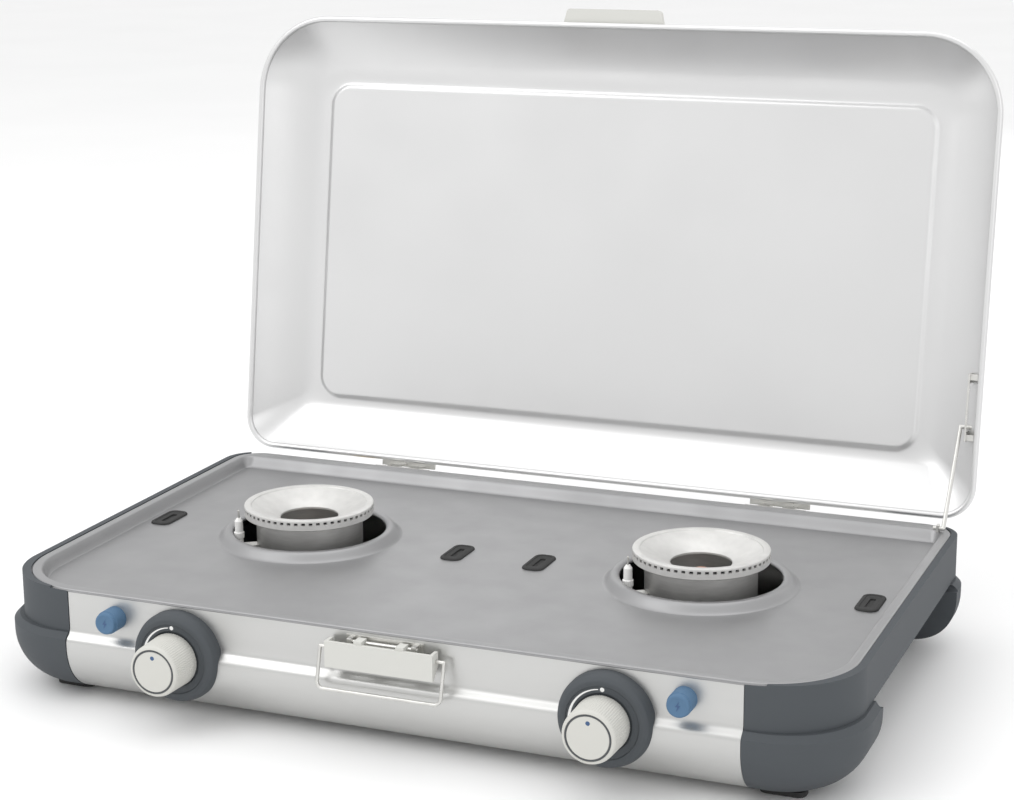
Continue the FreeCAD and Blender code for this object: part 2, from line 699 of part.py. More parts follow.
# ---------------------------------------------------------------- gas and ignition
def make_gas():
    """Rail, supply pipe, valves, spindles, injectors and the inlet at the back."""
    x = -d.inlet_x
    y = d.rail_y
    z = d.rail_z
    turn_y = y + d.pipe_run
    r = d.pipe_round
    rail = cylinder("rail_tube", d.rail_round, d.inlet_x + 150, (x, y, z), X)
    rail_end = ball("rail_corner", d.rail_round, (x, y, z))
    run = cylinder("supply_low", r, d.pipe_run, (x, y, z), Y)
    corner = ball("supply_corner", r, (x, turn_y, z))
    rise = cylinder("supply_rise", r, d.knob_z - z, (x, turn_y, z), Z)
    upper = ball("supply_upper", r, (x, turn_y, d.knob_z))
    last = cylinder("supply_last", r, 50, (x, turn_y, d.knob_z), Y)
    keep(fuse("rail_shape", [rail, rail_end, run, corner, rise, upper, last]), "gas_rail")
    wall = d.hob_deep / 2 + d.step_out
    collar = cylinder("inlet_collar", 10, 6, (x, wall, d.knob_z), Y)
    shank = cylinder("inlet_shank", d.inlet_round, wall - 150 + 22, (x, 150, d.knob_z), Y)
    bore = cylinder("inlet_bore", d.inlet_bore, 60, (x, 145, d.knob_z), Y)
    keep(cut("inlet_shape", fuse("inlet_solid", [collar, shank]), [bore]), "gas_inlet")
    nose_y = -d.hob_deep / 2 - d.step_out - d.bezel_out + 1.2
    for side, sign in SIDES:
        x = d.knob_x * sign
        z = d.knob_z
        block_body = block("valve_block_" + side, (d.valve_wide, d.valve_deep, d.valve_high + 2),
                           (x, y, d.rail_z + d.rail_round))
        nose = cylinder("valve_nose_" + side, d.valve_nose, 16, (x, nose_y, z), Y)
        bore = cylinder("valve_bore_" + side, d.spindle_round + d.running_gap, 40, (x, nose_y - 4, z), Y)
        keep(cut("valve_shape_" + side, fuse("valve_solid_" + side, [block_body, nose]), [bore]),
             "gas_valve_" + side)
        tip_y = nose_y - 0.5 - d.knob_long + d.knob_skin + 0.2
        keep(cylinder("spindle_shape_" + side, d.spindle_round, y + 7 - tip_y, (x, tip_y, z), Y),
             "valve_spindle_" + side)
        injector = cone("injector_shape_" + side, 4.5, 3, 18, (x, y + d.valve_deep / 2, z), Y)
        hole = cylinder("injector_hole_" + side, d.injector_hole, 20, (x, y + d.valve_deep / 2 - 1, z), Y)
        keep(cut("injector_cut_" + side, injector, [hole]), "injector_" + side)


def make_controls():
    """Knobs, their bezels, the igniter buttons and the piezo units behind them."""
    core_path = panel_profile(-1, Size.of(0))
    core_path = [(-100, d.rim_z)] + [(core_path[0][0], d.rim_z)] + core_path[1:] + [(-100, d.base_z)]
    for side, sign in SIDES:
        x = d.knob_x * sign
        z = d.knob_z
        core = extruded("bezel_core_" + side, core_path, 80, "YZ_Plane", both=True, at=(x, 0, 0))
        rim_y = d.hob_deep / 2 + d.step_out + d.bezel_out
        deep = d.bezel_deep
        plate = turned("bezel_plate_" + side, [
            (8, 0), (d.bezel_round, 0), (d.bezel_round, deep - 3.5), (d.bezel_round - 1.2, deep - 1.1),
            (d.bezel_round - 3.6, deep), (d.knob_round + 4.4, deep), (d.knob_round + 3.2, deep - 1.2),
            (8, deep - 1.2)], at=(x, -rim_y + deep, z), turn=FRONT)
        keep(cut("bezel_shape_" + side, plate, [core]), "bezel_" + side)
        base = rim_y - 0.7
        end = d.knob_long
        ring = d.knob_face - 2.8
        knob = turned("knob_turned_" + side, [
            (d.spindle_round, 0), (d.knob_round, 0), (d.knob_face + 0.2, end - 2.5), (d.knob_face - 1.2,
                                                                                      end),
            (ring + 0.5, end), (ring, end - 0.5), (ring - 0.5, end), (0, end), (0, end - d.knob_skin),
            (d.spindle_round, end - d.knob_skin)], at=(x, -base, z), turn=FRONT)
        keep(knob, "knob_" + side)
        bx = d.button_x * sign
        bz = d.button_z
        face = d.hob_deep / 2 + d.button_out
        long = d.button_long
        head = turned("button_head_" + side, [
            (0, 0), (d.stem_round, 0), (d.stem_round, d.stem_long), (d.button_round, d.stem_long),
            (d.button_round, long - 1.2), (d.button_round - 1.2, long), (0, long)],
            at=(bx, -face + long, bz), turn=FRONT)
        keep(head, "igniter_button_" + side)
        unit_y = -face + long - d.stem_long + 9
        unit = cylinder("piezo_tube_" + side, d.piezo_round, d.piezo_long, (bx, unit_y, bz), Y)
        bore = cylinder("piezo_bore_" + side, d.stem_round + d.running_gap, 22, (bx, unit_y - 1, bz), Y)
        keep(cut("piezo_shape_" + side, unit, [bore]), "piezo_unit_" + side)


# ---------------------------------------------------------------- lid, drawn closed
def opened(thing):
    """The piece of the closed lid, turned about the hinge axis to its open place."""
    centre = FreeCAD.Vector(0, d.axis_y.value, d.axis_z.value)
    swung = doc.addObject("Part::Compound", thing.Name + "_open")
    swung.Links = [thing]
    swung.Placement = FreeCAD.Placement(FreeCAD.Vector(), FreeCAD.Rotation(X, -d.lid_open.value), centre)
    return swung


def make_lid():
    """Pressed lid: rolled edge, deep rounded cavity and one embossed panel."""
    rim = d.rim_z + d.lid_gap
    back = d.axis_y - d.lid_back
    front = back - d.lid_long
    part = body("lid_body")

    def inset_outline(name, inset, level):
        sketch = sketch_on(part, name, offset=level)
        return rounded_outline(sketch, d.lid_wide - inset * 2, front + inset, back - inset,
                               d.lid_round - inset, d.lid_back_round - inset)

    def embossed(name, level, grow):
        sketch = sketch_on(part, name, offset=level)
        return rounded_outline(sketch, d.lid_wide - d.panel_side * 2 + grow * 2,
                               front + d.panel_front - grow,
                               back - d.panel_back + grow, d.panel_round + grow, d.panel_round + grow)

    top = rim + d.lid_high
    pad(part, inset_outline("lid_outer", Size.of(0), rim), d.lid_high)
    soften(part, "lid_dome_round", d.lid_dome - 5, at_height(top))
    pad(part, inset_outline("lid_bead", -d.bead, rim), d.bead_high)
    soften(part, "bead_round", 1.5, lambda edge: at_height(rim + d.bead_high)(edge) and beyond_wall(edge))
    pad(part, embossed("lid_raised", top, Size.of(0)), d.panel_raise)
    cavity = body("lid_cavity")
    sketch = sketch_on(cavity, "cavity_outline", offset=rim - 1)
    w = d.lid_wall
    rounded_outline(sketch, d.lid_wide - w * 2, front + w, back - w, d.lid_round - w, d.lid_back_round - w)
    pad(cavity, sketch, d.lid_high - w + 1)
    soften(cavity, "cavity_round", d.lid_dome - 5 - w, at_height(top - w))
    sketch = sketch_on(cavity, "cavity_raised", offset=top - w - 1)
    rounded_outline(sketch, d.lid_wide - d.panel_side * 2 - 2 * w, front + d.panel_front + w,
                    back - d.panel_back - w, d.panel_round - w, d.panel_round - w)
    pad(cavity, sketch, d.panel_raise + 1)
    rivet_holes = [cylinder("lid_hole_%d" % number, d.rivet_round + 0.05, 9, (x, back - 5,
                                                                              rim + d.rivet_high), Y)
                   for number, x in enumerate(rivet_places())]
    shell = cut("lid_shape", part, [cavity] + rivet_holes)
    keep(opened(shell), "lid_shell")
    return rim, back, front


def rivet_places():
    """The x of each rivet that holds a hinge to the lid."""
    return [d.hinge_x * sign + offset for _, sign in SIDES for offset in (-d.rivet_out, d.rivet_out)]


def beyond_wall(edge):
    """True for an edge that lies outside the lid's wall."""
    box = edge.BoundBox
    half = d.lid_wide.value / 2 + 0.5
    back = (d.axis_y - d.lid_back).value + 0.5
    front = (d.axis_y - d.lid_back - d.lid_long).value - 0.5
    return box.XMax > half or box.XMin < -half or box.YMax > back or box.YMin < front


def make_keeper(rim, front):
    """The tab on the lid's front edge that the bail hooks over."""
    tip_y = front - d.keeper_out
    r = 3
    tab = extruded("keeper_shape", [
        (-d.keeper_base, front), (-d.keeper_tip, tip_y + r), (-d.keeper_tip + r, tip_y, r),
        (d.keeper_tip - r, tip_y), (d.keeper_tip, tip_y + r, r), (d.keeper_base, front)],
        d.keeper_thick, offset=rim + d.keeper_low)
    keep(opened(tab), "keeper_tab")


def make_stay(rim, back):
    """The wire stay, the eye that holds its foot and the slotted bracket on the lid."""
    x = d.stay_x
    y = d.stay_foot_y
    z = d.stay_foot_z
    rise = math.radians(d.stay_rise.value)
    rod_way = FreeCAD.Vector(0, -math.cos(rise), math.sin(rise))
    end_y = y + rod_way.y * d.stay_long
    end_z = z + rod_way.z * d.stay_long
    rod = cylinder("stay_rod", d.wire_round, d.stay_long, (x, y, z), rod_way)
    foot = cylinder("stay_foot", d.wire_round, 6.5, (x - 6.5, y, z), X)
    foot_ball = ball("stay_foot_ball", d.wire_round, (x, y, z))
    tip_ball = ball("stay_tip_ball", d.wire_round, (x, end_y, end_z))
    tip = cylinder("stay_tip", d.wire_round, 8.5, (x, end_y, end_z), X)
    keep(fuse("stay_shape", [rod, foot, foot_ball, tip_ball, tip]), "stay_wire")
    ear = block("stay_ear", (1.6, 4.4, 4.6), (x - 3.4, y, d.rim_z))
    ear_hole = cylinder("stay_ear_hole", d.wire_round + d.running_gap, 6, (x - 6, y, z), X)
    keep(cut("stay_eye_shape", ear, [ear_hole]), "stay_eye")
    plate_x = x + 4.5
    wall_x = d.lid_wide / 2 - d.lid_wall
    slot_z = rim + (d.slot_near + d.slot_far) / 2
    slot_tall = d.slot_far - d.slot_near
    y_near = back - d.slot_low
    y_far = back - d.slot_high
    y_mid = (y_near + y_far) / 2
    plate = block("bracket_plate", (1.2, y_near - y_far + 13, 12), (plate_x, y_mid, rim + 0.3))
    slot = block("bracket_slot", (6, y_near - y_far, slot_tall), (plate_x, y_mid, rim + d.slot_near))
    stand_size = (wall_x - plate_x - 0.5, 4, 8)
    stands = [block("bracket_stand_%d" % number, stand_size, ((wall_x + plate_x + 0.5) / 2, stand_y,
                                                              rim + 2))
              for number, stand_y in enumerate((y_near + 4, y_far - 4))]
    bracket = cut("stay_bracket_shape", fuse("stay_bracket_solid", [plate] + stands), [slot])
    keep(opened(bracket), "stay_bracket")


# ---------------------------------------------------------------- hinges
def make_hinges(rim, back):
    """Two five-knuckle hinges: a leaf on the rear panel, a leaf on the lid, a pin and two rivets each."""
    step = d.knuckle + d.knuckle_gap
    leaf_x = d.knuckle * 5 + d.knuckle_gap * 4
    t = d.leaf_thick
    y = d.axis_y
    z = d.axis_z
    r = d.barrel_round
    wall = d.hob_deep / 2
    for side, sign in SIDES:
        x = d.hinge_x * sign
        start = x - leaf_x / 2

        def leaf(name, slots, gap, others):
            """The fused barrels, webs and plates of one leaf, bored for the pin."""
            pieces = list(others)
            for slot in slots:
                pieces.append(cylinder("%s_barrel_%d" % (name, slot), r, d.knuckle, (start + step * slot,
                                                                                     y, z), X))
            bore = cylinder(name + "_bore", d.pin_round + gap, leaf_x + 4, (start - 2, y, z), X)
            return fuse(name + "_solid", pieces), bore

        def web_x(slot):
            return start + step * slot + d.knuckle / 2

        name = "hinge_base_" + side
        parts = [block("%s_web_%d" % (name, slot), (d.knuckle, y - wall, t), (web_x(slot), (y + wall) / 2,
                                                                              z - r))
                 for slot in (0, 2, 4)]
        parts.append(block(name + "_plate", (leaf_x, t, 16), (x, wall + t / 2, z - r - 16 + t)))
        solid, bore = leaf(name, (0, 2, 4), Size.of(0), parts)
        keep(cut(name + "_shape", solid, [bore]), name)

        name = "hinge_lid_" + side
        top = rim + d.hinge_high
        parts = [block("%s_web_%d" % (name, slot), (d.knuckle, t, top + 1 - z), (web_x(slot),
                                                                                 y - r + t / 2, z))
                 for slot in (1, 3)]
        parts.append(block(name + "_plate", (leaf_x, y - r + t - back, t), (x, (y - r + t + back) / 2,
                                                                            top)))
        parts.append(block(name + "_face", (leaf_x, t, 10), (x, back + t / 2, top)))
        solid, bore = leaf(name, (1, 3), d.running_gap, parts)
        holes = [cylinder("%s_hole_%d" % (name, number), d.rivet_round + 0.05, 9,
                          (x + offset, back - 3, rim + d.rivet_high), Y)
                 for number, offset in enumerate((-d.rivet_out, d.rivet_out))]
        keep(opened(cut(name + "_shape", solid, [bore] + holes)), name)
        keep(cylinder("hinge_pin_shape_" + side, d.pin_round, leaf_x, (start, y, z), X),
             "hinge_pin_" + side)
    skin = d.lid_wall + t
    rivets = []
    for number, x in enumerate(rivet_places()):
        rivet = turned("lid_rivet_%d" % number, [
            (0, -2), (1.6, -1.6), (2.6, -0.2), (d.rivet_round, -0.2), (d.rivet_round, skin), (2.4, skin),
            (2, skin + 0.9), (0, skin + 1.3)], at=(x, back - d.lid_wall, rim + d.rivet_high), turn=along(Y))
        rivets.append(opened(rivet))
    keep(group("lid_rivets", rivets), "hinge_rivets")


# ---------------------------------------------------------------- latch
def make_latch():
    """Bracket on the front panel, its pin, the latch plate with its end cheeks and the wire bail."""
    half = d.latch_half
    wall = d.hob_deep / 2
    py = d.latch_pin_y
    pz = d.latch_pin_z
    pr = d.latch_pin_round
    lugs = [block("latch_lug_%d" % number, (3, 5.9, 5.2), (x, -wall - 2.95, pz - 3))
            for number, x in enumerate((-20, 20))]
    back_plate = block("latch_back", (48, 1, 13), (0, -wall - 0.5, pz - 10))
    pin_hole = cylinder("latch_pin_hole", pr, 60, (-30, py, pz), X)
    keep(cut("latch_bracket_shape", fuse("latch_bracket_solid", lugs + [back_plate]), [pin_hole]),
         "latch_bracket")
    keep(cylinder("latch_pin_shape", pr, 44, (-22, py, pz), X), "latch_pin")
    face = -wall - d.latch_out
    low = pz - d.latch_high + 0.5
    pieces = [block("latch_face", (half * 2, d.latch_thick, d.latch_high), (0, face + d.latch_thick / 2,
                                                                            low))]
    pieces += [block("latch_eye_%d" % number, (5, 7, 4.8), (x, -wall - 6, pz - 2.4))
               for number, x in enumerate((-13, 13))]
    cheek = [(face, low + 1.5), (face + 1.5, low), (py + 1.6, pz - 7.5), (py + 1.6, pz + 0.5), (face,
                                                                                                pz + 0.5)]
    pieces += [extruded("latch_cheek_%d" % number, cheek, d.latch_thick, "YZ_Plane", x)
               for number, x in enumerate((-half, half - d.latch_thick))]
    holes = [cylinder("latch_eye_hole", pr + d.running_gap, 60, (-30, py, pz), X),
             cylinder("latch_bail_hole", d.bail_round + d.running_gap, 100, (-50, d.bail_y, d.bail_z), X)]
    keep(cut("latch_plate_shape", fuse("latch_plate_solid", pieces), holes), "latch_plate")
    r = d.bail_round
    inner = half - 3.5
    corner = 4
    low = -d.bail_drop
    wires = [cylinder("bail_low", r, d.bail_half * 2 - corner * 2, (-d.bail_half + corner, 0, low), X)]
    for side, sign in SIDES:
        x = d.bail_half * sign
        wires.append(cylinder("bail_leg_" + side, r, d.bail_drop - corner, (x, 0, low + corner)))
        wires.append(bend("bail_bend_" + side, r, corner, x - corner * sign, 0, low + corner, sign))
        wires.append(ball("bail_top_" + side, r, (x, 0, 0)))
        start = inner if sign > 0 else -d.bail_half
        wires.append(cylinder("bail_pivot_" + side, r, d.bail_half - inner, (start, 0, 0), X))
    hanging = doc.addObject("Part::Compound", "bail_hanging")
    hanging.Links = [fuse("bail_shape", wires)]
    place(hanging, 0, d.bail_y, d.bail_z, turn=FreeCAD.Rotation(X, -d.bail_lean.value))
    keep(hanging, "bail_wire")


def bend(name, wire, radius, x, y, z, sign):
    """A quarter turn of wire in the XZ plane, from straight down to sideways."""
    solid = doc.addObject("Part::Torus", name)
    bind(solid, "Radius1", radius)
    bind(solid, "Radius2", wire)
    solid.Angle3 = 90
    turn = FreeCAD.Rotation(X, 90).multiply(FreeCAD.Rotation(Z, -90 if sign > 0 else 180))
    place(solid, x, y, z, turn=turn)
    return solid


# ---------------------------------------------------------------- build, check and write
def check_and_export():
    """Stop on any failed object or bad shape, then write one STEP file for each sub-part."""
    doc.recompute()
    for item in doc.Objects:
        if "Invalid" in item.State or "Error" in item.State:
            raise RuntimeError("%s failed: %s" % (item.Name, item.State))
    for item in exported:
        shape = item.Shape
        if shape.isNull() or not shape.isValid() or not shape.Solids:
            raise RuntimeError("%s has no valid solid" % item.Label)
    for old in os.listdir("parts"):
        if old.endswith(".step"):
            os.remove(os.path.join("parts", old))
    for item in exported:
        item.Shape.exportStep("parts/%s.step" % item.Label)
    print("%d sub-parts written" % len(exported))


make_hob()
make_panels()
make_ends()
for burner_side, burner_sign in SIDES:
    make_burner(burner_side, burner_sign)
make_sockets()
make_gas()
make_controls()
lid_rim, lid_back, lid_front = make_lid()
make_keeper(lid_rim, lid_front)
make_stay(lid_rim, lid_back)
make_hinges(lid_rim, lid_back)
make_latch()
check_and_export()
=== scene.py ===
"""Looks of the two-burner camping stove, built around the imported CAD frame.  Metres, +Z up."""

import json
import math

import bmesh
import bpy
from mathutils import Euler, Matrix, Vector
from mathutils.geometry import delaunay_2d_cdt


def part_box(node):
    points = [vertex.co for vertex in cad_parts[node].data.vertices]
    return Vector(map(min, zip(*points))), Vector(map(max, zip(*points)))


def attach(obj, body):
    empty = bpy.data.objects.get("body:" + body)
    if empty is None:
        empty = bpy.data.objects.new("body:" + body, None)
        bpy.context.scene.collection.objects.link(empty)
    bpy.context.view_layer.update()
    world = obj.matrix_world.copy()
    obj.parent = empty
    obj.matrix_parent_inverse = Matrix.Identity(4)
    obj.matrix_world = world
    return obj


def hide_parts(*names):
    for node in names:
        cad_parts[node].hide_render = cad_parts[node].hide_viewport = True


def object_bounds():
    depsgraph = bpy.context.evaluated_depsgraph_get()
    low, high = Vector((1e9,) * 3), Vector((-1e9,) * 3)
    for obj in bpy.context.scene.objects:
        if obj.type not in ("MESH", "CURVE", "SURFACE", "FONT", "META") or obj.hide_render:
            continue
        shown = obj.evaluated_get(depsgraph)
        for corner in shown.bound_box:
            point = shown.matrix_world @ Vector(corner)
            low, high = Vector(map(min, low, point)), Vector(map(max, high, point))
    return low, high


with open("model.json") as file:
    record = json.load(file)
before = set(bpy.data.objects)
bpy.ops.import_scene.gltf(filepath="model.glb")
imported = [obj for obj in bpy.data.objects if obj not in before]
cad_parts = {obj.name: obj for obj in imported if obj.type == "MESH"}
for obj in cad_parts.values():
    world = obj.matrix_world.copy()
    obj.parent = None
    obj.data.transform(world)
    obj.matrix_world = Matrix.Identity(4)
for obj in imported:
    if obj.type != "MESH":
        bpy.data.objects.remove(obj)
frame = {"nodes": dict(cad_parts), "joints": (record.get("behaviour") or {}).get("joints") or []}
CAD_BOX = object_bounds()
NODES = frame["nodes"]
JOINTS = {joint["name"]: joint for joint in frame["joints"]}
MM = 0.001
SIDES = ("left", "right")
FIELD_DROP = 7.3 * MM
SHEET_SKIN = 1.2 * MM
PANEL_STEP_OUT = 5 * MM
PANEL_CURVE = 33 * MM
FLANGE = 12 * MM
PRINT_PROUD = 0.08 * MM
FLOOR_GAP = 0.3 * MM


# ------------------------------------------------------------------ camera
# The camera's place is measured from the middle of the hob's rim, in widths of the hob.
HOB_LOW, HOB_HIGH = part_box("hob_plate")
HOB_WIDE = HOB_HIGH.x - HOB_LOW.x
VIEW_FROM = Vector((0.9908, -2.3548, 0.8341))
VIEW_YAW = 0.3906
VIEW_PITCH = 0.2475
VIEW_ROLL = -0.0074
FOCAL_WIDTHS = 2.196
SENSOR = 36.0


def make_camera():
    """The camera at the photograph's viewing angle."""
    data = bpy.data.cameras.new("view_camera")
    data.sensor_width = SENSOR
    data.lens = FOCAL_WIDTHS * SENSOR
    camera = bpy.data.objects.new("view_camera", data)
    bpy.context.scene.collection.objects.link(camera)
    camera.location = VIEW_FROM * HOB_WIDE + Vector((0, 0, HOB_HIGH.z))
    turn = Euler((math.pi / 2 - VIEW_PITCH, 0, VIEW_YAW), "XYZ").to_matrix().to_4x4()
    camera.rotation_euler = (turn @ Matrix.Rotation(VIEW_ROLL, 4, "Z")).to_euler()
    bpy.context.scene.camera = camera


def make_stage():
    """Pale floor, white surroundings and soft lights."""
    world = bpy.data.worlds.new("studio")
    world.use_nodes = True
    background = world.node_tree.nodes["Background"]
    background.inputs["Color"].default_value = (1, 1, 1, 1)
    background.inputs["Strength"].default_value = 1.0
    bpy.context.scene.world = world
    bpy.context.scene.view_settings.view_transform = "Standard"
    mesh = bpy.data.meshes.new("floor")
    half = 6
    corners = [(-half, -half, 0), (half, -half, 0), (half, half, 0), (-half, half, 0)]
    mesh.from_pydata(corners, [], [(0, 1, 2, 3)])
    floor = bpy.data.objects.new("floor", mesh)
    bpy.context.scene.collection.objects.link(floor)
    floor.location.z = CAD_BOX[0][2] - FLOOR_GAP
    floor.data.materials.append(finish("floor_white", (0.9, 0.9, 0.9), 0.6, mottle=(3, 0.01)))
    target = Vector((0, 0, 0.1))
    lights = (
        ("key", (-1.3, -1.2, 1.9), 1.6, 14),
        ("fill", (1.9, -1.4, 1.2), 1.6, 5),
        ("top", (0.0, 0.3, 2.2), 2.0, 10),
        ("back", (0.6, 2.2, 1.0), 1.6, 4),
    )
    for name, place, size, power in lights:
        data = bpy.data.lights.new(name, "AREA")
        data.shape = "SQUARE"
        data.size = size
        data.energy = power
        light = bpy.data.objects.new(name, data)
        bpy.context.scene.collection.objects.link(light)
        light.location = place
        light.rotation_euler = (target - Vector(place)).to_track_quat("-Z", "Y").to_euler()


# ------------------------------------------------------------------ materials
def finish(name, colour, rough, metallic=0.0, mottle=(40, 0.04), grain=(900, 0.0), streak=(1, 1, 1),
           rough_spread=0.06, coat=0.0, edge=0.0):
    """A procedural finish: colour mottle, uneven roughness, fine grain bump and soft edges."""
    material = bpy.data.materials.get(name)
    if material:
        return material
    material = bpy.data.materials.new(name)
    material.use_nodes = True
    tree = material.node_tree
    shader = tree.nodes["Principled BSDF"]
    shader.inputs["Metallic"].default_value = metallic
    shader.inputs["Coat Weight"].default_value = coat
    place = tree.nodes.new("ShaderNodeTexCoord")
    mapping = tree.nodes.new("ShaderNodeMapping")
    mapping.inputs["Scale"].default_value = streak
    tree.links.new(place.outputs["Object"], mapping.inputs["Vector"])

    def noise(scale, detail):
        node = tree.nodes.new("ShaderNodeTexNoise")
        node.inputs["Scale"].default_value = scale
        node.inputs["Detail"].default_value = detail
        tree.links.new(mapping.outputs["Vector"], node.inputs["Vector"])
        return node.outputs["Fac"]

    def spread(source, low, high):
        node = tree.nodes.new("ShaderNodeMapRange")
        node.inputs["From Min"].default_value = 0.3
        node.inputs["From Max"].default_value = 0.7
        node.inputs["To Min"].default_value = low
        node.inputs["To Max"].default_value = high
        tree.links.new(source, node.inputs["Value"])
        return node.outputs["Result"]

    shade = spread(noise(mottle[0], 4), 1 - mottle[1], 1 + mottle[1])
    mix = tree.nodes.new("ShaderNodeVectorMath")
    mix.operation = "SCALE"
    mix.inputs[0].default_value = colour
    tree.links.new(shade, mix.inputs["Scale"])
    tree.links.new(mix.outputs["Vector"], shader.inputs["Base Color"])
    tree.links.new(spread(noise(mottle[0] * 2.3, 3), rough - rough_spread, rough + rough_spread),
                   shader.inputs["Roughness"])
    normal = None
    if edge > 0:
        bevel = tree.nodes.new("ShaderNodeBevel")
        bevel.samples = 4
        bevel.inputs["Radius"].default_value = edge
        normal = bevel.outputs["Normal"]
    if grain[1] > 0:
        bump = tree.nodes.new("ShaderNodeBump")
        bump.inputs["Strength"].default_value = grain[1]
        bump.inputs["Distance"].default_value = 0.0003
        tree.links.new(noise(grain[0], 2), bump.inputs["Height"])
        if normal:
            tree.links.new(normal, bump.inputs["Normal"])
        normal = bump.outputs["Normal"]
    if normal:
        tree.links.new(normal, shader.inputs["Normal"])
    return material


def lid_paint():
    return finish("lid_paint", (0.7, 0.7, 0.7), 0.36, 0.85, mottle=(6, 0.015), grain=(2600, 0.05))


def hob_paint():
    return finish("hob_paint", (0.33, 0.33, 0.335), 0.42, 0.7, mottle=(14, 0.02), grain=(2600, 0.08))


def panel_paint():
    return finish("panel_paint", (0.56, 0.56, 0.55), 0.36, 0.85, mottle=(30, 0.02), grain=(1800, 0.05),
                  streak=(0.15, 1, 1))


def casing_plastic():
    return finish("casing_plastic", (0.019, 0.02, 0.0205), 0.56, grain=(1500, 0.25), mottle=(60, 0.05),
                  edge=0.0012)


def bezel_plastic():
    return finish("bezel_plastic", (0.018, 0.019, 0.0195), 0.5, grain=(1500, 0.2), mottle=(60, 0.05))


def knob_plastic():
    return finish("knob_plastic", (0.6, 0.59, 0.565), 0.48, grain=(1700, 0.12), mottle=(80, 0.02))


def button_plastic():
    return finish("button_plastic", (0.05, 0.11, 0.18), 0.42, grain=(1700, 0.1), mottle=(80, 0.05))


def mark_blue():
    return finish("mark_blue", (0.04, 0.09, 0.2), 0.4, mottle=(90, 0.05))


def mark_white():
    return finish("mark_white", (0.85, 0.85, 0.84), 0.5, mottle=(90, 0.03))


# Near-black laid in the knob's face groove: painted shade in the groove
def painted_groove_shade():
    return finish("painted_groove_shade", (0.06, 0.065, 0.07), 0.5, mottle=(90, 0.05))


def rubber():
    return finish("rubber", (0.045, 0.047, 0.05), 0.6, grain=(1100, 0.3), mottle=(70, 0.08))


def cast_aluminium():
    return finish("cast_aluminium", (0.66, 0.655, 0.64), 0.5, 0.65, grain=(1300, 0.35), mottle=(110, 0.05))


def turned_aluminium():
    return finish("turned_aluminium", (0.62, 0.615, 0.6), 0.42, 0.8, grain=(900, 0.2), streak=(1, 1, 6),
                  mottle=(90, 0.06))


def zinc_plate():
    return finish("zinc_plate", (0.66, 0.655, 0.63), 0.32, 0.9, grain=(1500, 0.1), mottle=(120, 0.06),
                  edge=0.0004)


def brass():
    return finish("brass_metal", (0.72, 0.53, 0.26), 0.32, 0.95, grain=(1500, 0.1), mottle=(120, 0.08),
                  edge=0.0004)


def copper_tone():
    return finish("copper_tone", (0.62, 0.34, 0.24), 0.4, 0.9, grain=(1500, 0.1), mottle=(120, 0.08))


def ceramic():
    return finish("white_ceramic", (0.86, 0.855, 0.84), 0.28, grain=(900, 0.04), mottle=(90, 0.02),
                  coat=0.3)


def latch_plastic():
    return finish("latch_plastic", (0.6, 0.6, 0.57), 0.42, grain=(1500, 0.12), mottle=(70, 0.02))


# Near-black: the piezo unit's own black, and painted shade on the back faces of the crown's flame slots
def black_piezo_and_slot_shade():
    return finish("black_piezo_and_slot_shade", (0.02, 0.02, 0.022), 0.6, grain=(900, 0.2), mottle=(60, 0.1))


def tray_steel():
    return finish("tray_steel", (0.3, 0.3, 0.31), 0.45, 0.8, grain=(600, 0.1), mottle=(30, 0.12))


# ------------------------------------------------------------------ mesh helpers
def piece(name, mesh, material, body, replaces=()):
    """Put a finished mesh in the scene as a named piece."""
    thing = bpy.data.objects.new(name, mesh)
    bpy.context.scene.collection.objects.link(thing)
    if not mesh.materials:
        mesh.materials.append(material)
    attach(thing, body)
    if replaces:
        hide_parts(*replaces)
    return thing


def smooth_by_angle(mesh, degrees=38):
    """Smooth shading, with creases where faces meet at more than an angle."""
    mesh.set_sharp_from_angle(angle=math.radians(degrees))
    for polygon in mesh.polygons:
        polygon.use_smooth = True


def mesh_of(name, points, faces, turn=None, degrees=38):
    """A mesh from points and faces, optionally moved by a matrix, with outward normals."""
    mesh = bpy.data.meshes.new(name)
    mesh.from_pydata([tuple(p) for p in points], [], faces)
    work = bmesh.new()
    work.from_mesh(mesh)
    bmesh.ops.remove_doubles(work, verts=work.verts, dist=1e-6)
    bmesh.ops.recalc_face_normals(work, faces=work.faces)
    work.to_mesh(mesh)
    work.free()
    if turn is not None:
        mesh.transform(turn)
    smooth_by_angle(mesh, degrees)
    return mesh


def bridge(loops, cyclic=False, caps=True):
    """Points and quads between closed loops of equal length, with a cap at each open end."""
    count = len(loops[0])
    points = [p for loop in loops for p in loop]
    faces = []
    spans = len(loops) if cyclic else len(loops) - 1
    for row in range(spans):
        after = (row + 1) % len(loops)
        for k in range(count):
            n = (k + 1) % count
            faces.append((row * count + k, row * count + n, after * count + n, after * count + k))
    if caps and not cyclic:
        faces.append(tuple(range(count)))
        faces.append(tuple(reversed(range((len(loops) - 1) * count, len(loops) * count))))
    return points, faces


def rounded_loop(x0, x1, y0, y1, low_round, high_round, z, steps=14):
    """A rounded rectangle from (x0, y0) to (x1, y1) at height z; the two corners at y0 use low_round."""
    corners = (
        (x1 - low_round, y0 + low_round, low_round, -90),
        (x1 - high_round, y1 - high_round, high_round, 0),
        (x0 + high_round, y1 - high_round, high_round, 90),
        (x0 + low_round, y0 + low_round, low_round, 180),
    )
    loop = []
    for cx, cy, radius, start in corners:
        for k in range(steps + 1):
            angle = math.radians(start + 90 * k / steps)
            loop.append(Vector((cx + radius * math.cos(angle), cy + radius * math.sin(angle), z)))
    return loop


def ring(cx, cy, radius, z, count):
    """A circle of points about a vertical axis."""
    turns = [2 * math.pi * k / count for k in range(count)]
    return [Vector((cx + radius * math.cos(a), cy + radius * math.sin(a), z)) for a in turns]


